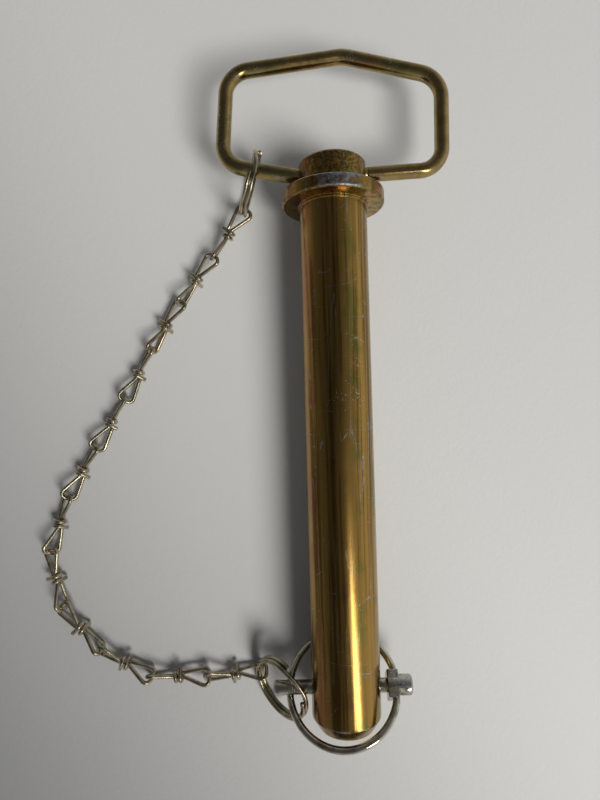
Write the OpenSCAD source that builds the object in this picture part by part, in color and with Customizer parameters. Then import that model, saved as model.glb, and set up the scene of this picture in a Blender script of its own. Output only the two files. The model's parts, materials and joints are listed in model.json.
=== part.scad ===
// Hitch pin with a swing handle, a lynch pin with its snap ring, and a keeper chain.
// Millimetres. The pin lies on a flat surface: +Z is up from that surface, +Y runs
// along the shank towards the handle, and the origin is the centre of the flange's seat.

/* [Shank] */
// Diameter of the shank
shank_d = 25.4; // [22:0.1:29]
// Length of the shank from the flange's seat to the tip
shank_len = 193; // [185:1:240]
// Length of the tapered tip
tip_len = 4.3; // [2:0.1:7]
// Diameter of the flat at the end of the tip
tip_d = 20; // [14:0.1:21]
// How far the turned land under the flange stands proud of the shank
land_step = 0.5; // [0.2:0.05:1]
// Width of the turned land under the flange
land_w = 0.9; // [0.4:0.1:2]

/* [Flange and boss] */
// Diameter of the flange
flange_d = 38.6; // [36:0.1:44]
// Thickness of the flange
flange_t = 5.1; // [3:0.1:8]
// Chamfer round both edges of the flange
flange_edge = 0.6; // [0.2:0.1:1.2]
// Diameter of the boss that holds the handle
boss_d = 25.4; // [22:0.1:29]
// Height of the boss above the flange
boss_h = 11.5; // [11:0.1:16]
// Chamfer round the top of the boss
boss_edge = 0.9; // [0.3:0.1:1.4]

/* [Handle] */
// Diameter of the handle's wire
handle_wire = 5.6; // [4.5:0.1:6]
// Height of the handle's hole above the flange
handle_hole_h = 7.2; // [6.6:0.1:7.6]
// Radial clearance of the handle's ends in the boss
handle_fit = 0.1; // [0.05:0.01:0.1]
// How far each end of the handle reaches into the boss
handle_end_in = 8; // [5:0.5:10]
// Half width of the handle at its lower corners, on the wire's centre line
handle_half_low = 41.9; // [38:0.1:50]
// Half width of the handle at its upper corners, on the wire's centre line
handle_half_top = 41.0; // [36:0.1:50]
// Rise of each lower bar from the boss out to the lower corner
handle_bar_rise = 3.2; // [1:0.1:5]
// Height of the upper corners above the handle's hole
handle_shoulder_h = 38.8; // [34:0.1:60]
// Height of the peak in the middle of the grip above the handle's hole
handle_peak_h = 46.2; // [42:0.1:70]
// Bend radius of the lower corners, on the wire's centre line
handle_low_bend = 9; // [7:0.5:12]
// Bend radius of the upper corners, on the wire's centre line
handle_top_bend = 10; // [7:0.5:12]
// Bend radius of the peak in the middle of the grip, on the wire's centre line
handle_peak_bend = 14; // [10:0.5:30]
// Diameter of the handle's ends inside the boss
handle_end_d = 5.4; // [4.3:0.1:5.8]
// How many degrees the loop sits askew on its ends
handle_skew = 2.5; // [0:0.5:4]

/* [Lynch pin] */
// Diameter of the lynch pin
lynch_d = 5; // [4.5:0.1:6]
// Distance of the lynch pin's hole from the flange's seat
lynch_s = 179; // [170:1:180]
// Radial clearance of the lynch pin in its hole
lynch_fit = 0.1; // [0.05:0.01:0.1]
// Gap between the shank and the lynch pin's head
lynch_head_gap = 2.6; // [1.5:0.1:5]
// How far the lynch pin's tip stands out of the shank
lynch_tip_out = 13.9; // [13.5:0.1:18]
// Chamfer round the lynch pin's tip
lynch_tip_edge = 0.6; // [0.2:0.1:1]
// Diameter of the head's barrel
lynch_head_d = 7.2; // [7:0.1:8]
// Length of the head
lynch_head_len = 9; // [8:0.1:12]
// Width of the forged skirt on the inner side of the head
lynch_skirt_w = 9.4; // [9:0.1:11]
// Length of the forged skirt along the lynch pin
lynch_skirt_len = 4.4; // [4:0.1:5]

/* [Snap ring] */
// Diameter of the snap ring's wire
snap_wire = 2.7; // [2.2:0.1:2.8]
// Radius of the snap ring, on the wire's centre line
snap_r = 19.9; // [19.7:0.1:20.4]
// Diameter of the ring's ends inside the head
snap_end_d = 2.6; // [2:0.1:2.7]
// Distance from the head's inner face to the holes for the ring's ends
snap_hole_in = 2.7; // [2.4:0.1:3]
// Radial clearance of the ring's ends in the head
snap_fit = 0.1; // [0.05:0.01:0.1]
// How far each end of the ring reaches into the head
snap_end_in = 3; // [2:0.1:3.2]

/* [Split rings] */
// Outer diameter of both split rings
split_d = 25.4; // [24.6:0.1:26]
// Diameter of the split rings' wire
split_wire = 1.7; // [1.4:0.1:1.7]
// Distance of the upper split ring from the boss, along the handle's lower bar
upper_ring_at = 17.6; // [16:0.1:20]

/* [Chain] */
// Pitch of the chain from one interlock to the next
link_pitch = 22.4; // [22:0.1:23.4]
// Diameter of the links' wire
link_wire = 1.4; // [1.2:0.05:1.4]
// Half width of each loop, on the wire's centre line
loop_half = 3; // [2.9:0.05:3.1]
// Bend radius of the two corners at the end of each loop, on the wire's centre line
loop_corner = 1.9; // [1.6:0.1:2.2]
// How far the wire's two ends stick out of each knot
knot_tail = 3.3; // [2:0.1:3.3]

/* [Clearances] */
// Gap left where one loose piece bears on another
seat_gap = 0.3; // [0.2:0.05:0.4]

/* [Smoothness] */
// Sides of the swept wire of the handle and the snap ring
wire_sides = 16; // [16:1:24]
// Sides of the swept wire of a chain link
link_sides = 8; // [6:1:8]
// Sides of the swept wire of a split ring
split_sides = 8; // [6:1:10]

/* [Hidden] */
$fn = 96;

// Finishes, as plain colours
zinc_gold = [0.66, 0.50, 0.20];
zinc_olive = [0.56, 0.47, 0.22];
bright_zinc = [0.74, 0.72, 0.66];
spring_steel = [0.70, 0.68, 0.62];

// Sizes that follow from the ones above
shank_r = shank_d / 2;
flange_r = flange_d / 2;
boss_r = boss_d / 2;
handle_hole_r = handle_end_d / 2 + handle_fit;
snap_hole_r = snap_end_d / 2 + snap_fit;
lynch_r = lynch_d / 2;
snap_wire_r = snap_wire / 2;
split_r = (split_d - split_wire) / 2;
split_strand_gap = 0.06;
split_half = (split_wire + split_strand_gap) / 2;

// Places on the pin, in the pin's own frame: +Y towards the handle, seat at 0
handle_y = flange_t + handle_hole_h;
lynch_head_x = shank_r + lynch_head_gap;
lynch_tip_x = -shank_r - lynch_tip_out;
snap_hinge_x = lynch_head_x + snap_hole_in;

// The snap ring hangs from the head, passes under the lynch pin's tip and under the
// shank, and its near side clears the end of the pin. The wire's ends leave the circle
// where the circle crosses the line of the holes.
snap_open_half = 16;
snap_centre = snap_r * cos(snap_open_half);
snap_droop = asin((lynch_r + snap_wire_r + seat_gap) / (snap_centre + snap_r));
snap_drop = snap_centre * sin(snap_droop);
snap_lean = asin((shank_r + snap_wire_r + seat_gap) / norm([snap_r, snap_drop]))
          - atan(snap_drop / snap_r);
// Where the ring carries the tip, measured along the shank from the seat
rest_s = lynch_s - snap_r * cos(snap_lean) + snap_drop * sin(snap_lean);
rest_under = snap_drop * cos(snap_lean) + snap_wire_r
           + snap_r * norm([sin(snap_lean), sin(snap_droop) * cos(snap_lean)]);
// The pin rests on the flange's rim and on the snap ring, so it lies a little tip-down
rest_tilt = atan((flange_r - rest_under) / rest_s);
ground_z = -flange_r * cos(rest_tilt);

// A point of the pin's own frame in the part's frame
function on_pin(p) = [p[0], p[1] * cos(rest_tilt) - p[2] * sin(rest_tilt),
                      p[1] * sin(rest_tilt) + p[2] * cos(rest_tilt)];
module on_pin() { rotate([rest_tilt, 0, 0]) children(); }

// ---- Vector helpers ----
function unit(v) = v / norm(v);
function sum(v, i = 0) = i == len(v) - 1 ? v[i] : v[i] + sum(v, i + 1);
function turn2(p, a) = [p[0] * cos(a) - p[1] * sin(a), p[0] * sin(a) + p[1] * cos(a)];
// The vector v turned by the angle a about the unit axis k
function turn3(v, k, a) = v * cos(a) + cross(k, v) * sin(a) + k * (k * v) * (1 - cos(a));
// The local point p in a frame of three axes f at the origin o
function place(p, f, o) = o + f[0] * p[0] + f[1] * p[1] + f[2] * p[2];

// ---- Swept wire: one polyhedron along a path of points ----
function path_dir(path, i) =
    unit((i > 0 ? unit(path[i] - path[i - 1]) : [0, 0, 0])
       + (i < len(path) - 1 ? unit(path[i + 1] - path[i]) : [0, 0, 0]));
function any_normal(d) = unit(cross(d, abs(d[2]) < 0.7 ? [0, 0, 1] : [1, 0, 0]));
// Normals carried along the path without twist
function carried_normals(path) = [
    for (i = 0, n = any_normal(path_dir(path, 0)); i < len(path);
         i = i + 1,
         n = i < len(path) ? unit(n - path_dir(path, i) * (n * path_dir(path, i))) : n) n];
module swept_wire(path, d, sides) {
    normals = carried_normals(path);
    rings = [for (i = [0 : len(path) - 1])
        let (dir = path_dir(path, i), u = normals[i], v = cross(dir, u))
            for (k = [0 : sides - 1])
                path[i] + (u * cos(360 * k / sides) + v * sin(360 * k / sides)) * d / 2];
    last = (len(path) - 1) * sides;
    walls = [for (i = [0 : len(path) - 2], k = [0 : sides - 1])
        let (a = i * sides + k, b = i * sides + (k + 1) % sides)
            [a, a + sides, b + sides, b]];
    polyhedron(rings, concat([[for (k = [0 : sides - 1]) k]],
                             [[for (k = [0 : sides - 1]) last + sides - 1 - k]], walls));
}

// ---- Flat outline with rounded corners ----
// corners are points in the XY plane, and bends the centre-line radius at each inner corner
bend_step = 9;
function bend_turn(corners, i) =
    acos(min(1, unit(corners[i] - corners[i - 1]) * unit(corners[i + 1] - corners[i])));
function bend_points(corners, radius, i) =
    let (dir = unit(corners[i] - corners[i - 1]),
         side = cross(dir, corners[i + 1] - corners[i]) > 0 ? 1 : -1,
         turn = bend_turn(corners, i),
         start = corners[i] - dir * radius * tan(turn / 2),
         centre = start + side * radius * [-dir[1], dir[0]],
         steps = ceil(turn / bend_step))
        [for (k = [0 : steps]) concat(centre + turn2(start - centre, side * turn * k / steps), 0)];
function rounded_path(corners, bends) = concat(
    [concat(corners[0], 0)],
    [for (i = [1 : len(corners) - 2]) each bend_points(corners, bends[i - 1], i)],
    [concat(corners[len(corners) - 1], 0)]);

// ---- Main pin: shank, land, flange and boss turned from one bar ----
module hitch_pin() {
    color(zinc_gold)
    on_pin() difference() {
        rotate([-90, 0, 0]) rotate_extrude()
            polygon([[0, -shank_len], [tip_d / 2, -shank_len],
                     [shank_r, -shank_len + tip_len], [shank_r, -land_w],
                     [shank_r + land_step, -land_w], [shank_r + land_step, 0],
                     [flange_r - flange_edge, 0], [flange_r, flange_edge],
                     [flange_r, flange_t - flange_edge], [flange_r - flange_edge, flange_t],
                     [boss_r, flange_t], [boss_r, flange_t + boss_h - boss_edge],
                     [boss_r - boss_edge, flange_t + boss_h], [0, flange_t + boss_h]]);
        translate([-boss_d, handle_y, 0]) rotate([0, 90, 0])
            cylinder(h = 2 * boss_d, r = handle_hole_r);
        translate([-shank_d, -lynch_s, 0]) rotate([0, 90, 0])
            cylinder(h = 2 * shank_d, r = lynch_r + lynch_fit);
    }
}

// ---- Handle: one bent wire, both ends turned down to fit the boss ----
handle_neck = 0.4;
handle_lap = 0.4;
handle_knee_x = boss_r + 1.4;
handle_knee_bend = 6;
function skewed(x, y) = turn2([x, y], -handle_skew);
handle_corners = [
    [-(boss_r + handle_neck), 0], [-handle_knee_x, 0],
    skewed(-handle_half_low, handle_bar_rise), skewed(-handle_half_top, handle_shoulder_h),
    skewed(0, handle_peak_h),
    skewed(handle_half_top, handle_shoulder_h), skewed(handle_half_low, handle_bar_rise),
    [handle_knee_x, 0], [boss_r + handle_neck, 0]];
handle_bends = [handle_knee_bend, handle_low_bend, handle_top_bend, handle_peak_bend,
                handle_top_bend, handle_low_bend, handle_knee_bend];
module handle() {
    color(zinc_olive)
    on_pin() translate([0, handle_y, 0]) {
        swept_wire(rounded_path(handle_corners, handle_bends), handle_wire, wire_sides);
        for (side = [-1, 1])
            translate([side * (boss_r - handle_end_in), 0, 0]) rotate([0, side * 90, 0])
                cylinder(h = handle_end_in + handle_neck + handle_lap, d = handle_end_d);
    }
}

// ---- Lynch pin: shank, barrel head and forged skirt, bored across for the ring ----
skirt_proud = 0.2;
skirt_thin = 0.4;
module lynch_pin() {
    color(bright_zinc)
    on_pin() translate([0, -lynch_s, 0]) difference() {
        union() {
            translate([lynch_head_x, 0, 0]) rotate([0, 90, 0]) rotate_extrude()
                polygon([[0, lynch_tip_x - lynch_head_x],
                         [lynch_r - lynch_tip_edge, lynch_tip_x - lynch_head_x],
                         [lynch_r, lynch_tip_x - lynch_head_x + lynch_tip_edge], [lynch_r, 0],
                         [lynch_head_d / 2, 0],
                         [lynch_head_d / 2, lynch_head_len - lynch_tip_edge],
                         [lynch_head_d / 2 - lynch_tip_edge, lynch_head_len],
                         [0, lynch_head_len]]);
            rotate([-snap_lean, 0, 0])
                translate([lynch_head_x - skirt_proud, -lynch_skirt_w / 2,
                           -lynch_head_d / 2 + skirt_thin])
                    cube([lynch_skirt_len, lynch_skirt_w, lynch_head_d - 2 * skirt_thin]);
        }
        translate([snap_hinge_x, 0, 0]) rotate([-snap_lean, 0, 0]) rotate([-90, 0, 0])
            cylinder(h = 2 * lynch_skirt_w, r = snap_hole_r, center = true);
    }
}

// ---- Snap ring: sprung wire, both ends turned down to fit the lynch pin's head ----
snap_neck = 0.2;
snap_lap = 0.25;
snap_steps = 44;
snap_path = concat(
    [[0, lynch_skirt_w / 2 + snap_neck, 0]],
    [for (k = [0 : snap_steps])
        let (a = snap_open_half + (360 - 2 * snap_open_half) * k / snap_steps)
            [snap_r * cos(a) - snap_centre, snap_r * sin(a), 0]],
    [[0, -lynch_skirt_w / 2 - snap_neck, 0]]);
module lynch_ring() {
    color(spring_steel)
    on_pin() translate([snap_hinge_x, -lynch_s, 0]) rotate([-snap_lean, 0, 0])
        rotate([0, -snap_droop, 0]) {
            swept_wire(snap_path, snap_wire, wire_sides);
            for (side = [-1, 1])
                translate([0, side * (lynch_skirt_w / 2 - snap_end_in), 0])
                    rotate([side * -90, 0, 0])
                        cylinder(h = snap_end_in + snap_neck + snap_lap, d = snap_end_d);
        }
}

// ---- Split rings: two turns of wire with a step where they cross over ----
// Each cut end stops split_lap degrees short of two full turns, and the step between
// the turns is spread over split_ramp degrees each way
split_lap = 32;
split_ramp = 30;
split_steps = 44;
function split_rise(a) =
    let (u = max(0, min(1, (a - 360 + split_ramp) / (2 * split_ramp))))
        split_half * (2 * u * u * (3 - 2 * u) - 1);
split_path = [for (k = [0 : split_steps])
    let (a = split_lap + (720 - 2 * split_lap) * k / split_steps)
        [split_r * cos(a), split_r * sin(a), split_rise(a)]];
// Frame of a ring whose axis has the given polar angle and heading
function ring_frame(polar, heading) =
    let (z = [sin(polar) * cos(heading), sin(polar) * sin(heading), cos(polar)],
         x = unit(cross([0, 0, 1], z)))
        [x, cross(z, x), z];
module split_ring(centre, frame, phase) {
    color(bright_zinc)
    swept_wire([for (p = split_path) place(concat(turn2(p, phase), p[2]), frame, centre)],
               split_wire, split_sides);
}

// Height of a ring's centre over the surface, for the polar angle of its axis
function ring_up(polar) =
    split_r * sin(polar) + split_half * abs(cos(polar)) + split_wire / 2;

// The upper ring stands on the surface and leans on the handle's lower bar
upper_polar = 100;
upper_heading = -15;
upper_phase = 60;
upper_frame = ring_frame(upper_polar, upper_heading);
upper_ring_out = 1.6;
upper_ring_down = 1.91;
upper_bar = [-(boss_r + upper_ring_at),
             handle_y + (upper_ring_at - handle_knee_x + boss_r)
                        * tan(handle_skew + atan(handle_bar_rise
                              / (handle_half_low - handle_knee_x)))];
upper_centre = [upper_bar[0] - upper_ring_out, upper_bar[1] - upper_ring_down,
                ground_z + ring_up(upper_polar) + seat_gap / 2];
// The lower ring lies on the surface, over the lynch pin's tip and through the snap ring
lower_polar = 48.7;
lower_heading = -156.3;
lower_phase = 100;
lower_frame = ring_frame(lower_polar, lower_heading);
lower_ring_in = 2.5;
lower_ring_out = 2.5;
lower_centre = [lynch_tip_x + lower_ring_in, -lynch_s - lower_ring_out,
                ground_z + ring_up(lower_polar) + seat_gap];
module split_ring_upper() { split_ring(upper_centre, upper_frame, upper_phase); }
module split_ring_lower() { split_ring(lower_centre, lower_frame, lower_phase); }

// ---- Chain link: one wire, a loop each way from a knot, the loops square to each other ----
loop_end = (link_pitch + link_wire + seat_gap) / 2;
knot_neck = 1.9;
coil_r = 1.56;
coil_in = 0.76;
coil_rise = 0.8;
coil_turn = 270;
// The leg that becomes the coil turns in from lead_long below it, kicked out by lead_out
lead_long = 1.1;
lead_in = 1.2;
lead_out = 0.12;
coil_steps = 8;
corner_steps = 5;
corner_u = loop_half - loop_corner;
corner_w = loop_end - loop_corner;
// Angle on the corner's arc where a leg from (u, w) runs onto it
function leg_angle(u, w) =
    let (d = [corner_u - u, corner_w - w])
        atan2(d[1], d[0]) - asin(loop_corner / norm(d)) - 90;
function corner_arc(side, from, to) = [for (k = [0 : corner_steps])
    let (a = from + (to - from) * k / corner_steps)
        [side * (corner_u + loop_corner * cos(a)), 0, -(corner_w + loop_corner * sin(a))]];
// From the knot out round the loop at -Z, back to the knot, and three quarters of a turn
// round the neck to the cut end
half_link = concat(
    [[0, 0, -knot_neck]],
    corner_arc(1, leg_angle(0, knot_neck), 90),
    corner_arc(-1, 90, leg_angle(coil_r, coil_in + coil_rise + lead_long)),
    [[-coil_r - lead_out, 0, -(coil_in + coil_rise + lead_in)]],
    [for (k = [0 : coil_steps]) let (a = 180 + coil_turn * k / coil_steps)
        [coil_r * cos(a), coil_r * sin(a), -(coil_in + coil_rise * (1 - k / coil_steps))]],
    [[-knot_tail, coil_r, -coil_in]]);
// The other half is the same wire turned over, which puts its loop at +Z in the YZ plane
link_path = concat(
    [for (k = [len(half_link) - 1 : -1 : 0]) half_link[k]],
    [for (p = half_link) [p[1], p[0], -p[2]]]);

// ---- The chain's course ----
// Each link's heading from the straight line between the two rings, before the bow is
// matched to the chain's length
link_headings = [-38, -38, -33, -29, -32, -31, -19, 10, 38, 58, 84, 89];
// How far each link's first loop is rolled up from lying flat
first_roll = -10;
last_roll = 45;
link_rolls = [first_roll, 15, 25, 60, 70, 55, 45, 25, 15, 45, 70, last_roll];
link_count = len(link_headings);
link_z = ground_z + loop_half + link_wire / 2 + seat_gap / 3;
// Where the end links hook round the rings, as angles on the rings
upper_hook = -156.7;
lower_hook = -122.3;
function on_ring(centre, frame, a) = place([split_r * cos(a), split_r * sin(a), 0], frame, centre);
first_hook = on_ring(upper_centre, upper_frame, upper_hook);
last_hook = on_ring(lower_centre, lower_frame, lower_hook);
// How far the end of each loop passes beyond the strand that it hooks
upper_hook_slack = 0.75;
lower_hook_slack = 0.65;
hook_back = (split_wire + seat_gap) / 2;
// How far the second link's near end is held up off the surface by the first
first_lift = 1.5;

// Plan course: unit steps along the headings times the bow, whose span shrinks as it grows
function heading2(a) = [cos(a), sin(a)];
function course(bow) = [for (h = link_headings) heading2(h * bow)];
function span(bow) = norm(sum(course(bow))) * link_pitch;
function matched_bow(want, low = 0.3, high = 1.6, n = 24) =
    n == 0 ? (low + high) / 2 :
    span((low + high) / 2) > want ? matched_bow(want, (low + high) / 2, high, n - 1)
                                  : matched_bow(want, low, (low + high) / 2, n - 1);
chord = last_hook - first_hook;
chord_heading = atan2(chord[1], chord[0]);
plan_from = [first_hook[0], first_hook[1]]
          - (hook_back + upper_hook_slack) * heading2(chord_heading + link_headings[0]);
plan_to = [last_hook[0], last_hook[1]]
        + (hook_back + lower_hook_slack)
          * heading2(chord_heading + link_headings[link_count - 1]);
plan_gap = plan_to - plan_from;
bow = matched_bow(norm(plan_gap));
plan_steps = course(bow);
plan_turn = atan2(plan_gap[1], plan_gap[0]) - atan2(sum(plan_steps)[1], sum(plan_steps)[0]);
function plan_sum(n) = n == 0 ? [0, 0] : plan_sum(n - 1) + turn2(plan_steps[n - 1], plan_turn);
function joint_height(i) = i == 0 ? first_hook[2] : i == link_count ? last_hook[2]
                         : i == 1 ? link_z + first_lift : link_z;
// The interlock between link i and link i + 1
function interlock(i) = concat(plan_from + link_pitch * plan_sum(i), joint_height(i));

function link_frame(i) =
    let (z = unit(interlock(i) - interlock(i - 1)), flat = unit(cross([0, 0, 1], z)),
         x = turn3(flat, z, link_rolls[i - 1]))
        [x, cross(z, x), z];
module chain_link(i) {
    centre = (interlock(i - 1) + interlock(i)) / 2;
    color(bright_zinc)
    swept_wire([for (p = link_path) place(p, link_frame(i), centre)], link_wire, link_sides);
}

hitch_pin();
handle();
lynch_pin();
lynch_ring();
split_ring_upper();
split_ring_lower();
chain_link(1);  // chain_link_01
chain_link(2);  // chain_link_02
chain_link(3);  // chain_link_03
chain_link(4);  // chain_link_04
chain_link(5);  // chain_link_05
chain_link(6);  // chain_link_06
chain_link(7);  // chain_link_07
chain_link(8);  // chain_link_08
chain_link(9);  // chain_link_09
chain_link(10);  // chain_link_10
chain_link(11);  // chain_link_11
chain_link(12);  // chain_link_12
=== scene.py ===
import json
import math

import bmesh
import bpy
import numpy as np
from mathutils import Matrix, Vector
from mathutils.kdtree import KDTree

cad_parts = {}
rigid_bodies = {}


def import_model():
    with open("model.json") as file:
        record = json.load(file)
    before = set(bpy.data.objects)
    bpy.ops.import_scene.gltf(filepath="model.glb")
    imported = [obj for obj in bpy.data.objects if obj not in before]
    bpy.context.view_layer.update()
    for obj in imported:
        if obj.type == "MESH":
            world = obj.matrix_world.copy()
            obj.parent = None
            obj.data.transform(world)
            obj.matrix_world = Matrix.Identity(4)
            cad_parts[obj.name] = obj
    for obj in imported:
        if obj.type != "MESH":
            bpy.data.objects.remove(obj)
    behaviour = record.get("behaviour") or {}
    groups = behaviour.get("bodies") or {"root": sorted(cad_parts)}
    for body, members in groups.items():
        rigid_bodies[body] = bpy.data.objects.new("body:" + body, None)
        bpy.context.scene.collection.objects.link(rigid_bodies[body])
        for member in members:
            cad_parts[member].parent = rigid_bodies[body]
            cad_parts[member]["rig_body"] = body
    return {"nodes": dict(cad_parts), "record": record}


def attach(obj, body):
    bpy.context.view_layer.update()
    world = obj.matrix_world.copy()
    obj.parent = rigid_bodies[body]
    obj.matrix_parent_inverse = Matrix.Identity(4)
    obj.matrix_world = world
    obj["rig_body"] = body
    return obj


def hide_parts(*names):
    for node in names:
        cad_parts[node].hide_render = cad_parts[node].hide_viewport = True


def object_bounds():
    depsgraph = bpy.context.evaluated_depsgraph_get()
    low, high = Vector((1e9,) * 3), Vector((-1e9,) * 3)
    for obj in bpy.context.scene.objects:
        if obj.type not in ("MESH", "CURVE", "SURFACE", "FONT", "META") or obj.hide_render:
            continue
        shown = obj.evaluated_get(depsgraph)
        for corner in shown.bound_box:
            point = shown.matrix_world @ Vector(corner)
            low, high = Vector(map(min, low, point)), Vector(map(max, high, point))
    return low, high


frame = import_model()
solid_low, solid_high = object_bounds()


# ---------------------------------------------------------------------------------------
# Hitch pin. One piece of round steel bar, turned to a shank, a flange and a boss, drilled
# across for the handle and the lynch pin, then zinc plated and yellow passivated.
# ---------------------------------------------------------------------------------------
mm = 0.001
mounts = {m["name"]: m for m in frame["record"]["mounts"]}
shank_r = mounts["shank"]["dims"]["r_mm"] * mm
tip_dir = Vector(mounts["shank"]["axis"])
tilt = math.asin(-tip_dir.z)
lay = Matrix.Rotation(tilt, 4, "X")
shank_len = 193 * mm
tip_len = 4.3 * mm
tip_r = 10 * mm
land_w = 0.9 * mm
land_step = 0.5 * mm
flange_r = 19.3 * mm
flange_t = 5.1 * mm
flange_edge = 0.6 * mm
boss_r = 12.7 * mm
boss_h = 11.5 * mm
boss_edge = 0.9 * mm
handle_hole_y = flange_t + 7.2 * mm
handle_hole_r = 2.8 * mm
lynch_y = -179 * mm
lynch_hole_r = 2.6 * mm
through_pin = 4 * shank_r
turned_steps = 192
turned_edge = 0.2 * mm
bore_steps = 64
weld_within = 0.001 * mm
sharp_from = math.radians(35)

brown_gold = (0.39, 0.235, 0.062, 1)
green_gold = (0.26, 0.200, 0.048, 1)
red_gold = (0.36, 0.170, 0.062, 1)
bare_zinc = (0.50, 0.53, 0.55, 1)


def new_group(name, inputs, outputs):
    """An empty shader node group with named sockets: (name, kind, default) each."""
    group = bpy.data.node_groups.new(name, "ShaderNodeTree")
    for label, kind, default in inputs:
        socket = group.interface.new_socket(label, in_out="INPUT", socket_type=kind)
        socket.default_value = default
    for label, kind in outputs:
        group.interface.new_socket(label, in_out="OUTPUT", socket_type=kind)
    return group, group.nodes.new("NodeGroupInput"), group.nodes.new("NodeGroupOutput")


def node(tree, kind, links=(), **settings):
    """A node with its settings, its inputs given as {input: value or socket}."""
    made = tree.nodes.new(kind)
    for key, value in settings.items():
        setattr(made, key, value)
    for key, value in dict(links).items():
        if isinstance(value, bpy.types.NodeSocket):
            tree.links.new(value, made.inputs[key])
        else:
            made.inputs[key].default_value = value
    return made


def math_node(tree, operation, first, second=0.0, clamp=False):
    made = node(tree, "ShaderNodeMath", {0: first, 1: second}, operation=operation,
                use_clamp=clamp)
    return made.outputs[0]


def step_up(tree, value, low, high):
    """0 at low, 1 at high and smooth between, where low may be the larger of the two."""
    made = node(tree, "ShaderNodeMapRange", {0: value, 1: low, 2: high},
                interpolation_type="SMOOTHSTEP")
    return made.outputs[0]


def mix_colour(tree, amount, first, second):
    """The colour sockets of the Mix node are its inputs 6 and 7 and its output 2."""
    made = node(tree, "ShaderNodeMix", {0: amount, 6: first, 7: second}, data_type="RGBA")
    return made.outputs[2]


def noise_at(tree, vector, scale, detail, roughness=0.5):
    made = node(tree, "ShaderNodeTexNoise",
                {"Vector": vector, "Scale": scale, "Detail": detail, "Roughness": roughness})
    return made.outputs["Fac"]


def stretched(tree, vector, across, along):
    """The place, drawn out along Y, so that a pattern on it runs the length of a piece."""
    factor = node(tree, "ShaderNodeCombineXYZ", {"X": across, "Y": along, "Z": across})
    return node(tree, "ShaderNodeVectorMath", {0: vector, 1: factor.outputs[0]},
                operation="MULTIPLY").outputs[0]


# Hairline scratches: contour lines of a drawn out noise, cut short by a second one
patch_scale, patch_detail, patch_rough, patch_soft = 2.3, 3.0, 0.7, 0.10
scratch_group, group_in, group_out = new_group(
    "Hairline scratches",
    [("Vector", "NodeSocketVector", (0, 0, 0)), ("Across", "NodeSocketFloat", 200.0),
     ("Along", "NodeSocketFloat", 30.0), ("Width", "NodeSocketFloat", 0.01),
     ("Amount", "NodeSocketFloat", 0.5)],
    [("Mask", "NodeSocketFloat")])
drawn = stretched(scratch_group, group_in.outputs["Vector"], group_in.outputs["Across"],
                  group_in.outputs["Along"])
lines = noise_at(scratch_group, drawn, scale=1.0, detail=0.0)
centred = math_node(scratch_group, "ABSOLUTE",
                    math_node(scratch_group, "SUBTRACT", lines, 0.5))
ridge = math_node(scratch_group, "SUBTRACT", 1.0,
                  math_node(scratch_group, "DIVIDE", centred, group_in.outputs["Width"]),
                  clamp=True)
patches = noise_at(scratch_group, drawn, patch_scale, patch_detail, patch_rough)
least = math_node(scratch_group, "SUBTRACT", 1.0, group_in.outputs["Amount"])
shown = step_up(scratch_group, patches, least,
                math_node(scratch_group, "ADD", least, patch_soft))
scratch_group.links.new(math_node(scratch_group, "MULTIPLY", ridge, shown),
                        group_out.inputs["Mask"])

# Stain of the passivated plate: streaks along one axis, slow bands, a cloud and small
# flecks. Each is a noise with its own scale, detail and roughness.
flecks_per_cloud = 14.0
stain_group, group_in, group_out = new_group(
    "Plate stain",
    [("Vector", "NodeSocketVector", (0, 0, 0)), ("Across", "NodeSocketFloat", 260.0),
     ("Along", "NodeSocketFloat", 8.0), ("Cloud", "NodeSocketFloat", 70.0)],
    [("Streak", "NodeSocketFloat"), ("Band", "NodeSocketFloat"), ("Cloud", "NodeSocketFloat"),
     ("Fleck", "NodeSocketFloat")])
drawn = stretched(stain_group, group_in.outputs["Vector"], group_in.outputs["Across"],
                  group_in.outputs["Along"])
fleck_scale = math_node(stain_group, "MULTIPLY", group_in.outputs["Cloud"],
                        flecks_per_cloud)
for label, vector, scale, detail, rough in (
        ("Streak", drawn, 1.0, 4.0, 0.6), ("Band", drawn, 0.2, 1.0, 0.5),
        ("Cloud", group_in.outputs["Vector"], group_in.outputs["Cloud"], 4.0, 0.6),
        ("Fleck", group_in.outputs["Vector"], fleck_scale, 3.0, 0.7)):
    stain_group.links.new(noise_at(stain_group, vector, scale, detail, rough),
                          group_out.inputs[label])

# Tints of the thin film on the zinc: gold, with green where it is thick and red where thin
green_from, green_full = 0.53, 0.59
red_from, red_full = 0.46, 0.38
tint_group, group_in, group_out = new_group(
    "Film tints",
    [("Film", "NodeSocketFloat", 0.5), ("Gold", "NodeSocketColor", (1, 1, 1, 1)),
     ("Green", "NodeSocketColor", (1, 1, 1, 1)), ("Red", "NodeSocketColor", (1, 1, 1, 1))],
    [("Colour", "NodeSocketColor")])
film = group_in.outputs["Film"]
greened = mix_colour(tint_group, step_up(tint_group, film, green_from, green_full),
                     group_in.outputs["Gold"], group_in.outputs["Green"])
tint_group.links.new(mix_colour(tint_group, step_up(tint_group, film, red_from, red_full),
                                greened, group_in.outputs["Red"]),
                     group_out.inputs["Colour"])

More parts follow.
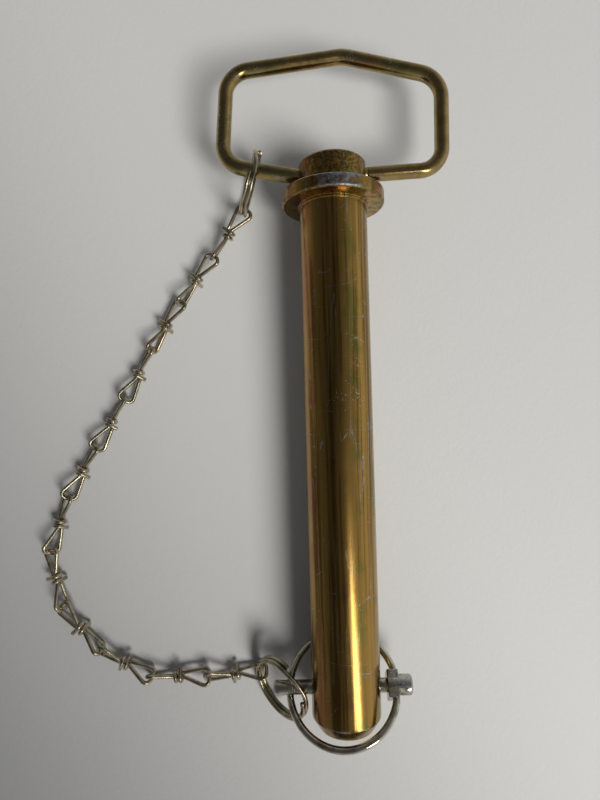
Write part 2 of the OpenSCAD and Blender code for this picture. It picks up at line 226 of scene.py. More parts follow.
# Rubbed plate: raised edges and flecks where the film has gone, broken up by a noise
broken_share, rub_from, rub_full = 0.9, 1.05, 1.30
rare_scale, rare_share = 0.13, 0.8
scuff_none, scuff_soft = 1.35, 0.07
rub_group, group_in, group_out = new_group(
    "Rubbed plate",
    [("Vector", "NodeSocketVector", (0, 0, 0)), ("Worn", "NodeSocketFloat", 0.0),
     ("Scale", "NodeSocketFloat", 300.0), ("Fleck", "NodeSocketFloat", 0.5),
     ("Scuffs", "NodeSocketFloat", 0.3)],
    [("Mask", "NodeSocketFloat")])
broken = noise_at(rub_group, group_in.outputs["Vector"], group_in.outputs["Scale"],
                  detail=4.0, roughness=0.7)
rubbed = math_node(rub_group, "ADD", group_in.outputs["Worn"],
                   math_node(rub_group, "MULTIPLY", broken, broken_share))
edge_rub = step_up(rub_group, rubbed, rub_from, rub_full)
rare = noise_at(rub_group, group_in.outputs["Vector"],
                math_node(rub_group, "MULTIPLY", group_in.outputs["Scale"], rare_scale),
                detail=2.0, roughness=0.6)
spots = math_node(rub_group, "ADD", group_in.outputs["Fleck"],
                  math_node(rub_group, "MULTIPLY", rare, rare_share))
least = math_node(rub_group, "SUBTRACT", scuff_none, group_in.outputs["Scuffs"])
scuffed = step_up(rub_group, spots, least, math_node(rub_group, "ADD", least, scuff_soft))
rub_group.links.new(math_node(rub_group, "MAXIMUM", edge_rub, scuffed),
                    group_out.inputs["Mask"])


def group_node(tree, group, **values):
    made = tree.nodes.new("ShaderNodeGroup")
    made.node_tree = group
    for key, value in values.items():
        if isinstance(value, bpy.types.NodeSocket):
            tree.links.new(value, made.inputs[key])
        else:
            made.inputs[key].default_value = value
    return made.outputs


def new_material(name):
    """A material with only its Principled shader, and the piece's own coordinates."""
    material = bpy.data.materials.new(name)
    material.use_nodes = True
    tree = material.node_tree
    shader = tree.nodes["Principled BSDF"]
    place = tree.nodes.new("ShaderNodeTexCoord").outputs["Object"]
    return material, tree, shader, place


# How the layers of a plate are mixed, the same on every plated piece: the spread of the
# two sets of hairlines, then what each layer does to colour, roughness and relief
hair_across, hair_along = 0.7, 5
cross_across, cross_along, cross_width, cross_fewer = 0.7, 2.2, 0.6, 0.03
band_share, cloud_share = 0.65, 0.35
streak_from, streak_full = 0.46, 0.62
dull_from, dull_full = 0.62, 0.42
hair_strength = 0.7
bared_dark, bared_from, bared_full = 0.45, 0.40, 0.60
dull_rough, cloud_rough, mark_rough = 0.12, 0.16, 0.15
mark_depth, dull_depth = 0.5, 5.0
rub_fineness = 5


def plated(name, gold, green, red, bare, across, along, cloud, grime, hair_width, hair_amount,
           scuffs, smooth, bump_depth):
    """Zinc plate with its film tints, streaks, hairlines, worn edges and scuffs.

    The streaks run along Y. Across, along and cloud set how many marks there are to a metre.
    """
    material, tree, shader, place = new_material(name)
    stain = group_node(tree, stain_group, Vector=place, Across=across, Along=along, Cloud=cloud)
    hairs = group_node(tree, scratch_group, Vector=place, Across=across * hair_across,
                       Along=along * hair_along, Width=hair_width, Amount=hair_amount)
    cross = group_node(tree, scratch_group, Vector=place, Across=cloud * cross_across,
                       Along=cloud * cross_along, Width=hair_width * cross_width,
                       Amount=hair_amount - cross_fewer)
    worn = node(tree, "ShaderNodeAttribute", attribute_name="worn").outputs["Fac"]
    rub = group_node(tree, rub_group, Vector=place, Worn=worn, Scale=cloud * rub_fineness,
                     Fleck=stain["Fleck"], Scuffs=scuffs)
    film = math_node(tree, "ADD", math_node(tree, "MULTIPLY", stain["Band"], band_share),
                     math_node(tree, "MULTIPLY", stain["Cloud"], cloud_share))
    colour = group_node(tree, tint_group, Film=film, Gold=gold, Green=green, Red=red)["Colour"]
    dull = node(tree, "ShaderNodeAttribute", attribute_name="dull").outputs["Fac"]
    dark = node(tree, "ShaderNodeHueSaturation", {"Value": grime, "Color": colour}).outputs[0]
    streaked = step_up(tree, stain["Streak"], streak_from, streak_full)
    dulled = math_node(tree, "MULTIPLY", dull,
                       step_up(tree, stain["Fleck"], dull_from, dull_full))
    colour = mix_colour(tree, math_node(tree, "MAXIMUM", streaked, dulled), colour, dark)
    scratched = math_node(tree, "MAXIMUM", hairs["Mask"], cross["Mask"])
    marks = math_node(tree, "MAXIMUM", rub["Mask"],
                      math_node(tree, "MULTIPLY", scratched, hair_strength))
    bared = node(tree, "ShaderNodeHueSaturation",
                 {"Value": bared_dark, "Color": bare}).outputs[0]
    bared = mix_colour(tree, step_up(tree, stain["Fleck"], bared_from, bared_full), bared, bare)
    tree.links.new(mix_colour(tree, marks, colour, bared), shader.inputs["Base Color"])
    shader.inputs["Metallic"].default_value = 1.0
    rough = smooth
    for layer, share in ((dull, dull_rough), (stain["Cloud"], cloud_rough),
                         (marks, mark_rough)):
        rough = math_node(tree, "ADD", rough, math_node(tree, "MULTIPLY", layer, share))
    tree.links.new(rough, shader.inputs["Roughness"])
    relief = math_node(tree, "SUBTRACT", stain["Fleck"],
                       math_node(tree, "MULTIPLY", marks, mark_depth))
    depth = math_node(tree, "ADD", 1.0, math_node(tree, "MULTIPLY", dull, dull_depth))
    relief = math_node(tree, "MULTIPLY", relief, depth)
    bump = node(tree, "ShaderNodeBump", {"Height": relief, "Distance": bump_depth})
    tree.links.new(bump.outputs[0], shader.inputs["Normal"])
    return material


pin_plate = plated("Yellow passivated zinc", brown_gold, green_gold, red_gold, bare_zinc,
                   across=400.0, along=3.5, cloud=70.0, grime=0.38, hair_width=0.010,
                   hair_amount=0.54, scuffs=0.17, smooth=0.15, bump_depth=0.000012)


def finished(name, work, node_name, material):
    """Makes a smooth shaded piece of a bmesh, standing for a CAD node and riding with it."""
    bmesh.ops.recalc_face_normals(work, faces=work.faces)
    mesh = bpy.data.meshes.new(name)
    work.to_mesh(mesh)
    work.free()
    for face in mesh.polygons:
        face.use_smooth = True
    mesh.set_sharp_from_angle(angle=sharp_from)
    mesh.materials.append(material)
    piece = bpy.data.objects.new(name, mesh)
    bpy.context.scene.collection.objects.link(piece)
    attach(piece, frame["nodes"][node_name]["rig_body"])
    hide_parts(node_name)
    return piece


def turned(profile, steps, edge):
    """A solid of revolution about Y from (radius, place along Y, wear) points.

    The corners that have any wear are bevelled, and the others only hold the outline.
    """
    work = bmesh.new()
    worn = work.verts.layers.float.new("worn")
    points = []
    for radius, along, wear in profile:
        points.append(work.verts.new((radius, along, 0)))
        points[-1][worn] = wear
    for first, second in zip(points, points[1:]):
        work.edges.new((first, second))
    corners = [v for v in points[1:-1] if v[worn] > 0]
    bmesh.ops.bevel(work, geom=corners, offset=edge, affect="VERTICES", segments=3,
                    profile=0.5, material=-1)
    bmesh.ops.spin(work, geom=work.verts[:] + work.edges[:], cent=(0, 0, 0), axis=(0, 1, 0),
                   angle=2 * math.pi, steps=steps, use_merge=True)
    bmesh.ops.remove_doubles(work, verts=work.verts, dist=weld_within)
    return work


def combined(piece, work, operation):
    """Cuts a bmesh from a piece or joins it on, by DIFFERENCE or UNION."""
    mesh = bpy.data.meshes.new("tool")
    work.to_mesh(mesh)
    work.free()
    tool = bpy.data.objects.new("tool", mesh)
    bpy.context.scene.collection.objects.link(tool)
    change = piece.modifiers.new("tool", "BOOLEAN")
    change.operation = operation
    change.solver = "EXACT"
    change.object = tool
    bpy.context.view_layer.update()
    result = bpy.data.meshes.new_from_object(
        piece.evaluated_get(bpy.context.evaluated_depsgraph_get()))
    piece.modifiers.remove(change)
    old = piece.data
    piece.data = result
    bpy.data.objects.remove(tool)
    bpy.data.meshes.remove(mesh)
    bpy.data.meshes.remove(old)
    result.name = piece.name


def bored(piece, at, along, radius, depth):
    """Cuts a round hole through a piece, its edges left as drilled."""
    drill = bmesh.new()
    turn = Vector(along).to_track_quat("Z", "Y").to_matrix().to_4x4()
    bmesh.ops.create_cone(drill, cap_ends=True, segments=bore_steps, radius1=radius,
                          radius2=radius, depth=depth, matrix=Matrix.Translation(at) @ turn)
    combined(piece, drill, "DIFFERENCE")


# The outline's points are (radius, place along the pin, wear). A wear of 1 is an edge
# rubbed bare, and the points with little or none stand where the rubbing has faded out.
tip_drop = shank_r - tip_r
tip_fade, land_fade, boss_fade = 1.2 * mm, 4 * mm, 0.8 * mm
rim_fade, under_fade, over_fade, top_fade = 0.7 * mm, 1.6 * mm, 1.4 * mm, 1.6 * mm
pin_profile = [
    (0, -shank_len, 0), (tip_r, -shank_len, 0.6),
    (tip_r + 0.25 * tip_drop, -shank_len + 0.25 * tip_len, 0.1),
    (shank_r - 0.2 * tip_drop, -shank_len + 0.8 * tip_len, 0.1),
    (shank_r, -shank_len + tip_len, 0.7), (shank_r, -shank_len + tip_len + tip_fade, 0),
    (shank_r, -shank_len / 2, 0), (shank_r, -land_w - land_fade, 0),
    (shank_r, -land_w, 0.2), (shank_r + land_step, -land_w, 0.6),
    (shank_r + land_step, 0, 0.1), (flange_r - under_fade, 0, 0),
    (flange_r - flange_edge, 0, 0.6), (flange_r, flange_edge, 1),
    (flange_r, flange_edge + rim_fade, 0.1),
    (flange_r, flange_t - flange_edge - rim_fade, 0.1), (flange_r, flange_t - flange_edge, 1),
    (flange_r - flange_edge, flange_t, 0.8), (flange_r - over_fade, flange_t, 0),
    (boss_r, flange_t, 0.1), (boss_r, flange_t + boss_h - boss_edge - boss_fade, 0),
    (boss_r, flange_t + boss_h - boss_edge, 0.5), (boss_r - boss_edge, flange_t + boss_h, 0.5),
    (boss_r - top_fade, flange_t + boss_h, 0), (0, flange_t + boss_h, 0)]
hitch_pin = finished("hitch_pin_turned", turned(pin_profile, turned_steps, turned_edge),
                     "hitch_pin", pin_plate)
bored(hitch_pin, (0, handle_hole_y, 0), (1, 0, 0), handle_hole_r, through_pin)
bored(hitch_pin, (0, lynch_y, 0), (1, 0, 0), lynch_hole_r, through_pin)

# The rim is rubbed most in a patch on its upper side, and the flange's edge and the boss
# are duller than the shank
patch_off, patch_half_angle = 1.5 * mm, 42
rim_margin, skin = 1.5 * mm, 0.1 * mm
edge_wear, rim_wear, patch_wear = 0.45, 0.30, 0.45
rim_dull, boss_dull = 0.5, 1.0
worn = hitch_pin.data.attributes["worn"].data
dull = hitch_pin.data.attributes.new("dull", "FLOAT", "POINT").data
for index, vertex in enumerate(hitch_pin.data.vertices):
    x, y, z = vertex.co
    out = math.hypot(x, z)
    off_top = math.degrees(abs(math.atan2(x - patch_off, z)))
    facing = max(0.0, 1 - (off_top / patch_half_angle) ** 2)
    if -skin < y < flange_t + skin and out > flange_r - rim_margin:
        on_rim = out > flange_r - skin
        worn[index].value = max(worn[index].value * (edge_wear + patch_wear * facing),
                                (rim_wear + patch_wear * facing) * on_rim * (facing > 0))
        dull[index].value = rim_dull
    elif y > flange_t:
        dull[index].value = boss_dull
hitch_pin.data.transform(lay)


# ---------------------------------------------------------------------------------------
# Handle. A steel wire bent to a grip with a shallow peak, zinc plated and passivated to
# olive. Its two ends are turned down a little and spring into the boss, and it sits
# slightly askew on them.
# ---------------------------------------------------------------------------------------
handle_wire_r = 2.8 * mm
handle_end_r = 2.7 * mm
handle_neck = 0.4 * mm
handle_end_in = 8 * mm
handle_skew = math.radians(2.5)
knee_x = boss_r + 1.4 * mm
half_low, half_top = 41.9 * mm, 41.0 * mm
bar_rise, shoulder_h, peak_h = 3.2 * mm, 38.8 * mm, 46.2 * mm
peak_x = 3.2 * mm
handle_bends = [r * mm for r in (6, 9, 10, 14, 10, 9, 6)]
bend_step = math.radians(4)
handle_sides = 32
handle_edge, handle_end_edge = 0.35 * mm, 0.3 * mm
olive_gold = (0.38, 0.27, 0.10, 1)
olive_green = (0.31, 0.245, 0.09, 1)
olive_red = (0.36, 0.22, 0.10, 1)


def swept(work, path, radius, sides, end_bevel):
    """A round wire along a path, both ends closed and their edges broken."""
    path = [Vector(p) for p in path]
    heads = [(b - a).normalized() for a, b in zip(path, path[1:])]
    ways = [heads[0]] + [(a + b).normalized() for a, b in zip(heads, heads[1:])] + [heads[-1]]
    turn = ways[0].to_track_quat("Z", "Y")
    made = bmesh.ops.create_circle(work, cap_ends=True, radius=radius, segments=sides,
                                   matrix=Matrix.Translation(path[0])
                                   @ turn.to_matrix().to_4x4())
    ring = made["verts"]
    face = ring[0].link_faces[0]
    first_edges = list(face.edges)
    for index in range(1, len(path)):
        grown = bmesh.ops.extrude_face_region(work, geom=[face])["geom"]
        ring = [g for g in grown if isinstance(g, bmesh.types.BMVert)]
        face = [g for g in grown if isinstance(g, bmesh.types.BMFace)][0]
        step = ways[index - 1].rotation_difference(ways[index])
        bmesh.ops.translate(work, verts=ring, vec=path[index] - path[index - 1])
        bmesh.ops.rotate(work, verts=ring, cent=path[index], matrix=step.to_matrix())
    bmesh.ops.bevel(work, geom=first_edges + list(face.edges), offset=end_bevel,
                    affect="EDGES", segments=2, profile=0.5, material=-1)
    return work


def rounded(corners, bends, step):
    """A flat path through corners, each inner one rounded to its own radius."""
    corners = [Vector((x, y)) for x, y in corners]
    path = [corners[0]]
    for before, corner, after, radius in zip(corners, corners[1:], corners[2:], bends):
        into, out = (corner - before).normalized(), (after - corner).normalized()
        angle = into.angle(out)
        side = 1 if into.cross(out) > 0 else -1
        centre = (corner - into * radius * math.tan(angle / 2)
                  + side * radius * Vector((-into.y, into.x)))
        start = corner - into * radius * math.tan(angle / 2) - centre
        count = math.ceil(angle / step)
        for k in range(count + 1):
            spun = side * angle * k / count
            path.append(centre + Vector((start.x * math.cos(spun) - start.y * math.sin(spun),
                                         start.x * math.sin(spun) + start.y * math.cos(spun))))
    return path + [corners[-1]]


def askew(x, y):
    """A point of the bend, turned by the little that the handle sits askew."""
    return (x * math.cos(handle_skew) + y * math.sin(handle_skew),
            y * math.cos(handle_skew) - x * math.sin(handle_skew))


handle_corners = [
    (-boss_r - handle_neck, 0), (-knee_x, 0), askew(-half_low, bar_rise),
    askew(-half_top, shoulder_h), askew(peak_x, peak_h), askew(half_top, shoulder_h),
    askew(half_low, bar_rise), (knee_x, 0), (boss_r + handle_neck, 0)]
handle_path = [(p.x, p.y + handle_hole_y, 0)
               for p in rounded(handle_corners, handle_bends, bend_step)]
handle_work = swept(bmesh.new(), handle_path, handle_wire_r, handle_sides, handle_edge)
for side in (-1, 1):
    ends = [(side * (boss_r - handle_end_in), handle_hole_y, 0),
            (side * (boss_r + 2 * handle_neck), handle_hole_y, 0)]
    swept(handle_work, ends, handle_end_r, handle_sides, handle_end_edge)
bmesh.ops.transform(handle_work, matrix=lay, verts=handle_work.verts)
handle_plate = plated("Olive passivated zinc", olive_gold, olive_green, olive_red, bare_zinc,
                      across=220.0, along=220.0, cloud=150.0, grime=0.80, hair_width=0.03,
                      hair_amount=0.52, scuffs=0.27, smooth=0.09, bump_depth=0.00001)
finished("handle_wire", handle_work, "handle", handle_plate)


# ---------------------------------------------------------------------------------------
# Lynch pin. A short pin forged in one piece of steel, with a barrel head and a square
# skirt at its foot, then zinc plated. It is bored for the snap ring's ends, and it is
# pushed across through the shank near the tip.
# ---------------------------------------------------------------------------------------
lynch_r = 2.5 * mm
lynch_head_x = shank_r + 2.6 * mm
lynch_tip_x = -shank_r - 13.9 * mm
lynch_tip_edge = 0.6 * mm
head_r, head_len = 3.6 * mm, 9 * mm
skirt_w, skirt_len, skirt_proud, skirt_thin = 9.4 * mm, 4.4 * mm, 0.2 * mm, 0.4 * mm
ring_hole_in = 2.7 * mm
ring_hole_r = 1.4 * mm
through_head = 4 * head_r
lynch_steps = 96
lynch_edge, skirt_edge = 0.12 * mm, 0.5 * mm
tip_hold, neck_hold = 3 * mm, 1 * mm
snap_wire_r = 1.35 * mm
snap_end_r = 1.3 * mm
snap_r = 19.9 * mm
seat_gap = 0.3 * mm
snap_open_half = math.radians(16)
snap_centre = snap_r * math.cos(snap_open_half)
snap_droop = math.asin((lynch_r + snap_wire_r + seat_gap) / (snap_centre + snap_r))
snap_drop = snap_centre * math.sin(snap_droop)
snap_lean = (math.asin((shank_r + snap_wire_r + seat_gap) / math.hypot(snap_r, snap_drop))
             - math.atan(snap_drop / snap_r))
lean = Matrix.Rotation(-snap_lean, 4, "X")
at_lynch = lay @ Matrix.Translation((0, lynch_y, 0))
forged_gold = (0.48, 0.445, 0.35, 1)
forged_green = (0.38, 0.37, 0.27, 1)
forged_red = (0.39, 0.33, 0.24, 1)
forged_bare = (0.64, 0.64, 0.60, 1)

head_profile = [
    (0, lynch_tip_x, 0), (lynch_r - lynch_tip_edge, lynch_tip_x, 1),
    (lynch_r, lynch_tip_x + lynch_tip_edge, 1), (lynch_r, lynch_tip_x + tip_hold, 0),
    (lynch_r, lynch_head_x - neck_hold, 0), (lynch_r, lynch_head_x, 0.1),
    (head_r, lynch_head_x, 0.6), (head_r, lynch_head_x + head_len - lynch_tip_edge, 1),
    (head_r - lynch_tip_edge, lynch_head_x + head_len, 1), (0, lynch_head_x + head_len, 0)]
lynch_work = turned(head_profile, lynch_steps, lynch_edge)
bmesh.ops.rotate(lynch_work, verts=lynch_work.verts, cent=(0, 0, 0),
                 matrix=Matrix.Rotation(-math.pi / 2, 3, "Z"))
lynch_steel = plated("Forged zinc plate", forged_gold, forged_green, forged_red, forged_bare,
                     across=300.0, along=300.0, cloud=160.0, grime=0.40, hair_width=0.02,
                     hair_amount=0.42, scuffs=0.24, smooth=0.08, bump_depth=0.00004)
lynch_pin = finished("lynch_pin_turned", lynch_work, "lynch_pin", lynch_steel)
skirt = bmesh.new()
bmesh.ops.create_cube(skirt, size=1)
bmesh.ops.scale(skirt, verts=skirt.verts,
                vec=(skirt_len, skirt_w, 2 * (head_r - skirt_thin)))
bmesh.ops.bevel(skirt, geom=skirt.edges[:], offset=skirt_edge, affect="EDGES", segments=3,
                profile=0.5, material=-1)
bmesh.ops.translate(skirt, verts=skirt.verts,
                    vec=(lynch_head_x - skirt_proud + skirt_len / 2, 0, 0))
bmesh.ops.transform(skirt, matrix=lean, verts=skirt.verts)
combined(lynch_pin, skirt, "UNION")
bored(lynch_pin, (lynch_head_x + ring_hole_in, 0, 0), lean @ Vector((0, 1, 0)), ring_hole_r,
      through_head)
lynch_pin.data.transform(at_lynch)


# ---------------------------------------------------------------------------------------
# Snap ring. Sprung steel wire bent to an open ring, whose two ends stand in the bores of
# the lynch pin's head. It leans under the shank and carries the lynch pin's tip.
# ---------------------------------------------------------------------------------------
snap_steps, snap_sides = 120, 24
snap_edge, snap_end_edge = 0.2 * mm, 0.15 * mm
snap_wire_out, snap_end_out, snap_end_in = 0.2 * mm, 0.45 * mm, 3 * mm
spring_gold = (0.60, 0.56, 0.46, 1)
spring_green = (0.54, 0.52, 0.42, 1)
spring_red = (0.54, 0.46, 0.35, 1)
spring_bare = (0.70, 0.70, 0.66, 1)

snap_points = [(0, skirt_w / 2 + snap_wire_out, 0)]
for k in range(snap_steps + 1):
    angle = snap_open_half + (2 * math.pi - 2 * snap_open_half) * k / snap_steps
    snap_points.append((snap_r * math.cos(angle) - snap_centre, snap_r * math.sin(angle), 0))
snap_points.append((0, -skirt_w / 2 - snap_wire_out, 0))
snap_work = swept(bmesh.new(), snap_points, snap_wire_r, snap_sides, snap_edge)
for side in (-1, 1):
    ends = [(0, side * (skirt_w / 2 - snap_end_in), 0),
            (0, side * (skirt_w / 2 + snap_end_out), 0)]
    swept(snap_work, ends, snap_end_r, snap_sides, snap_end_edge)
hang = (at_lynch @ Matrix.Translation((lynch_head_x + ring_hole_in, 0, 0)) @ lean
        @ Matrix.Rotation(-snap_droop, 4, "Y"))
bmesh.ops.transform(snap_work, matrix=hang, verts=snap_work.verts)
snap_steel = plated("Spring steel", spring_gold, spring_green, spring_red, spring_bare,
                    across=200.0, along=200.0, cloud=150.0, grime=0.60, hair_width=0.02,
                    hair_amount=0.42, scuffs=0.10, smooth=0.03, bump_depth=0.000003)
finished("snap_ring", snap_work, "lynch_ring", snap_steel)


# ---------------------------------------------------------------------------------------
# Split rings. Each is two turns of hard zinc plated wire that cross over half way round.
# One hangs from the handle and one from the snap ring, and the chain ends in them. The
# ring is drawn once in its own axes, and each copy is laid on the CAD solid it stands for.
# ---------------------------------------------------------------------------------------
split_wire_r = 0.85 * mm
split_r = 11.85 * mm
split_half = 0.88 * mm
split_lap, split_ramp = 32, 30
split_steps, split_sides = 160, 16
coarse_split_steps, coarse_sides = 44, 8
wire_edge = 0.12 * mm
wire_gold = (0.53, 0.46, 0.33, 1)
wire_green = (0.45, 0.41, 0.28, 1)
wire_red = (0.50, 0.39, 0.26, 1)
wire_bare = (0.64, 0.62, 0.57, 1)
laid_sample, laid_spins, laid_rounds = 80, 24, 14


def laid_on(own_points, node_name):
    """The matrix that lays a shape on a CAD solid.

    The main axes of both are laid together, either way round and in several turns about
    the axis. The best of these is then refined by pairing every point with its nearest.
    """
    own = np.array(own_points)
    source = frame["nodes"][node_name]
    there = np.array([source.matrix_world @ v.co for v in source.data.vertices])
    tree = KDTree(len(there))
    for index, point in enumerate(there):
        tree.insert(point, index)
    tree.balance()

    def middle_and_axes(points):
        middle = points.mean(axis=0)
        spread, ways = np.linalg.eigh(np.cov((points - middle).T))
        lone = 0 if spread[1] / spread[0] > spread[2] / spread[1] else 2
        return middle, np.column_stack(
            [ways[:, lone], ways[:, 1], np.cross(ways[:, lone], ways[:, 1])])

    own_middle, own_axes = middle_and_axes(own)
    far_middle, far_axes = middle_and_axes(there)
    sample = own[:: max(1, len(own) // laid_sample)]
    best = None
    for end in (1, -1):
        for spin in range(laid_spins):
            angle = math.tau * spin / laid_spins
            c, s = math.cos(angle), math.sin(angle)
            about = np.array([[1, 0, 0], [0, c, -s], [0, s, c]]) @ np.diag([end, 1, end])
            turn = far_axes @ about @ own_axes.T
            moved = (sample - own_middle) @ turn.T + far_middle
            miss = sum(tree.find(p)[2] for p in moved)
            if best is None or miss < best[0]:
                best = (miss, turn)
    turn, shift = best[1], far_middle - best[1] @ own_middle
    for _ in range(laid_rounds):
        moved = own @ turn.T + shift
        near = np.array([tree.find(p)[0] for p in moved])
        own_mean, near_mean = own.mean(axis=0), near.mean(axis=0)
        u, _, v = np.linalg.svd((own - own_mean).T @ (near - near_mean))
        flip = np.diag([1, 1, np.sign(np.linalg.det(v.T @ u.T))])
        turn = v.T @ flip @ u.T
        shift = near_mean - turn @ own_mean
    matrix = Matrix(turn.tolist()).to_4x4()
    matrix.translation = shift
    return matrix


def wire_shape(path, radius, sides):
    """The points of a coarse wire, only to lay a shape by."""
    work = swept(bmesh.new(), path, radius, sides, 0)
    points = [v.co.copy() for v in work.verts]
    work.free()
    return points


def laid_wire(node_name, coarse, fine, radius, sides, material):
    """A wire piece of a CAD node, laid on its solid by the coarse shape's points."""
    work = swept(bmesh.new(), fine, radius, sides, wire_edge)
    bmesh.ops.transform(work, matrix=laid_on(coarse, node_name), verts=work.verts)
    finished(node_name + "_wire", work, node_name, material)


def split_path(steps):
    """Two turns about Z with a lap left open at both ends, and the cross-over between."""
    path = []
    for k in range(steps + 1):
        a = split_lap + (720 - 2 * split_lap) * k / steps
        u = min(1, max(0, (a - 360 + split_ramp) / (2 * split_ramp)))
        path.append((split_r * math.cos(math.radians(a)), split_r * math.sin(math.radians(a)),
                     split_half * (2 * u * u * (3 - 2 * u) - 1)))
    return path


wire_zinc = plated("Bright zinc wire", wire_gold, wire_green, wire_red, wire_bare,
                   across=250.0, along=250.0, cloud=150.0, grime=0.60, hair_width=0.02,
                   hair_amount=0.40, scuffs=0.15, smooth=0.14, bump_depth=0.000003)
ring_shape = wire_shape(split_path(coarse_split_steps), split_wire_r, coarse_sides)
for name in ("split_ring_upper", "split_ring_lower"):
    laid_wire(name, ring_shape, split_path(split_steps), split_wire_r, split_sides, wire_zinc)


# ---------------------------------------------------------------------------------------
# Chain. Knotted links of the same zinc plated wire as the split rings. A link is one
# wire: a loop each way from a knot, the two a quarter turn apart, where both ends wrap
# round its neck. It is drawn a little thicker than the solid that it stands for.
# ---------------------------------------------------------------------------------------
link_wire_r = 0.7 * mm
link_drawn_r = 0.76 * mm
link_sides = 14
corner_steps, coil_steps = 12, 30
coarse_corner_steps, coarse_coil_steps = 5, 8
loop_half, loop_corner = 3 * mm, 1.9 * mm
loop_end = 12.05 * mm
knot_neck, knot_tail = 1.9 * mm, 3.3 * mm
coil_r, coil_in, coil_rise, coil_turn = 1.56 * mm, 0.76 * mm, 0.8 * mm, 270
coil_lead_rise, coil_lead_out, coil_lead_end = 1.1 * mm, 0.12 * mm, 1.2 * mm
corner_u, corner_w = loop_half - loop_corner, loop_end - loop_corner


def leg_angle(u, w):
    """Angle on the corner's arc where a leg from (u, w) runs onto it."""
    du, dw = corner_u - u, corner_w - w
    return math.degrees(math.atan2(dw, du)
                        - math.asin(loop_corner / math.hypot(du, dw))) - 90


def corner_arc(side, start, end, steps):
    """The round of a loop's corner, on the side given, between two angles in degrees."""
    arc = []
    for k in range(steps + 1):
        a = math.radians(start + (end - start) * k / steps)
        arc.append((side * (corner_u + loop_corner * math.cos(a)), 0,
                    -(corner_w + loop_corner * math.sin(a))))
    return arc


def link_path(corners, coils):
    """One half from the neck round its loop to the coil, and the same for the other."""
    half = [(0, 0, -knot_neck)]
    half += corner_arc(1, leg_angle(0, knot_neck), 90, corners)
    half += corner_arc(-1, 90, leg_angle(coil_r, coil_in + coil_rise + coil_lead_rise),
                       corners)
    half.append((-coil_r - coil_lead_out, 0, -(coil_in + coil_rise + coil_lead_end)))
    for k in range(coils + 1):
        a = math.radians(180 + coil_turn * k / coils)
        half.append((coil_r * math.cos(a), coil_r * math.sin(a),
                     -(coil_in + coil_rise * (1 - k / coils))))
    half.append((-knot_tail, coil_r, -coil_in))
    return half[::-1] + [(y, x, -z) for x, y, z in half]


link_shape = wire_shape(link_path(coarse_corner_steps, coarse_coil_steps), link_wire_r,
                        coarse_sides)
for name in sorted(name for name in frame["nodes"] if name.startswith("chain_link_")):
    laid_wire(name, link_shape, link_path(corner_steps, coil_steps), link_drawn_r, link_sides,
              wire_zinc)


# ---------------------------------------------------------------------------------------
# Surface, light and camera. The pin lies on a pale matt table top whose colour holds painted
# shade: it darkens in a soft patch on one side of the pin. A large lamp gives the soft
# shadows, a slender one nearer by is mirrored in the metal, and the room is dark overhead
# and brighter low down on the other side.
# ---------------------------------------------------------------------------------------
table_half = 1.5
# Painted shade: the table's colour runs from the dark colour below, in a soft patch on one side
# of the pin, to the pale one elsewhere
table_painted_shade = (0.19, 0.19, 0.19, 1)
table_light = (0.64, 0.64, 0.62, 1)
table_rough = 0.6
across_way, shade_across_full, shade_across_none = (2.61, 1.80, 0), -0.95, -0.05
shade_middle, shade_reach, shade_ends_at = (-0.10, -0.16, 0), 0.22, 0.75
grain_scale, grain_detail, grain_rough, grain_depth = 600.0, 3.0, 0.6, 0.00008

table_work = bmesh.new()
bmesh.ops.create_grid(table_work, x_segments=1, y_segments=1, size=table_half)
bmesh.ops.translate(table_work, verts=table_work.verts, vec=(0, 0, solid_low.z))
table_mesh = bpy.data.meshes.new("table")
table_work.to_mesh(table_mesh)
table_work.free()
table_top = bpy.data.objects.new("table", table_mesh)
bpy.context.scene.collection.objects.link(table_top)
table_paint, tree, shader, place = new_material("Pale table")
across = node(tree, "ShaderNodeVectorMath", {0: place, 1: across_way},
              operation="DOT_PRODUCT").outputs["Value"]
away = node(tree, "ShaderNodeVectorMath", {0: place, 1: shade_middle},
            operation="DISTANCE").outputs["Value"]
grain = noise_at(tree, place, grain_scale, grain_detail, grain_rough)
# Painted shade: the table keeps the dark colour only where both steps are low, towards one side
# and near the patch's middle
unshaded_part = math_node(tree, "MAXIMUM", step_up(tree, across, shade_across_full, shade_across_none),
                       step_up(tree, away, shade_reach, shade_ends_at))
tree.links.new(mix_colour(tree, unshaded_part, table_painted_shade, table_light),
               shader.inputs["Base Color"])
shader.inputs["Roughness"].default_value = table_rough
relief = node(tree, "ShaderNodeBump", {"Height": grain, "Distance": grain_depth})
tree.links.new(relief.outputs[0], shader.inputs["Normal"])
table_mesh.materials.append(table_paint)


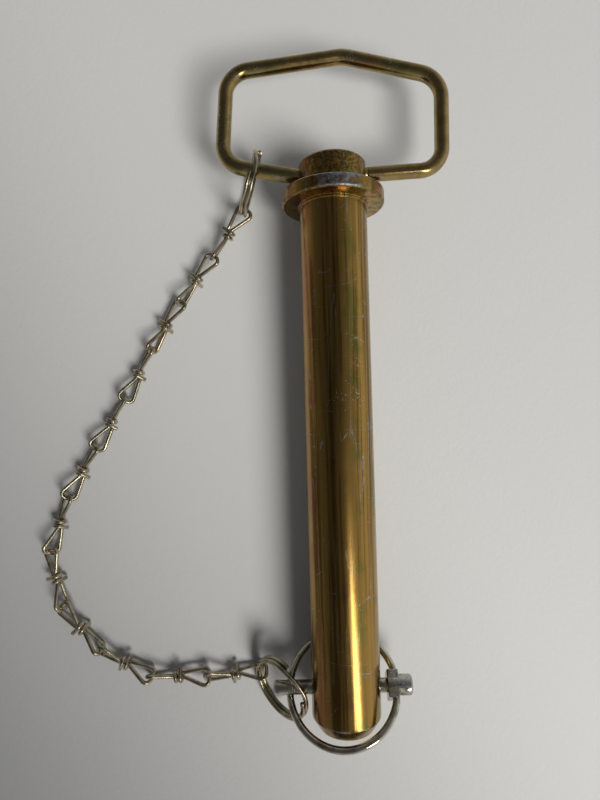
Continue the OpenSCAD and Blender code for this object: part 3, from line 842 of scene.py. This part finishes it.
def lamp(name, place, aim, wide, high, power, colour):
    """An oval lamp turned to a point: sizes in metres, power in watts."""
    light = bpy.data.lights.new(name, "AREA")
    light.shape = "ELLIPSE"
    light.size = wide
    light.size_y = high
    light.energy = power
    light.color = colour
    holder = bpy.data.objects.new(name, light)
    holder.location = place
    holder.rotation_mode = "QUATERNION"
    holder.rotation_quaternion = (Vector(aim) - Vector(place)).to_track_quat("-Z", "Y")
    bpy.context.scene.collection.objects.link(holder)
    return holder


# The large lamp gives the soft shadows, and only the slender one is mirrored in the metal
lit_point = (0, -0.08, 0)
sky = lamp("sky", (1.25, -1.50, 2.00), lit_point, wide=1.3, high=1.3, power=58.0,
           colour=(1, 0.99, 0.97))
sky.visible_glossy = False
lamp("window", (0.875, -1.074, 1.40), lit_point, wide=0.36, high=1.05, power=9.0,
     colour=(1, 0.98, 0.95))

# The room brightens towards room_way, down and to the right
room_dark = (0.07, 0.07, 0.075, 1)
room_bright = (0.70, 0.70, 0.70, 1)
room_way, room_from, room_full = (0.45, -0.15, -0.80), -0.90, 0.50
world = bpy.data.worlds.new("Room")
bpy.context.scene.world = world
world.use_nodes = True
tree = world.node_tree
back = tree.nodes["Background"]
way = tree.nodes.new("ShaderNodeTexCoord").outputs["Generated"]
bright = node(tree, "ShaderNodeVectorMath", {0: way, 1: room_way},
              operation="DOT_PRODUCT").outputs["Value"]
tree.links.new(mix_colour(tree, step_up(tree, bright, room_from, room_full), room_dark,
                          room_bright), back.inputs["Color"])
back.inputs["Strength"].default_value = 1.0

# The camera looks down on the pin from close over the middle of the shank
camera_place = Vector((-14.05, -82.98, 196.98)) * mm
camera_pitch = 0.0510
camera_roll = 0.0027
camera_yaw = -0.0251
focal_px = 528.9
frame_high_px = 800
sensor_mm = 36
near_clip = 0.01
camera_data = bpy.data.cameras.new("camera")
camera_data.sensor_width = sensor_mm
camera_data.lens = focal_px * sensor_mm / frame_high_px
camera_data.clip_start = near_clip
camera = bpy.data.objects.new("camera", camera_data)
bpy.context.scene.collection.objects.link(camera)
camera.matrix_world = (Matrix.Translation(camera_place) @ Matrix.Rotation(camera_yaw, 4, "Z")
                       @ Matrix.Rotation(camera_roll, 4, "Y")
                       @ Matrix.Rotation(camera_pitch, 4, "X"))
bpy.context.scene.camera = camera
bpy.context.scene.view_settings.view_transform = "Standard"
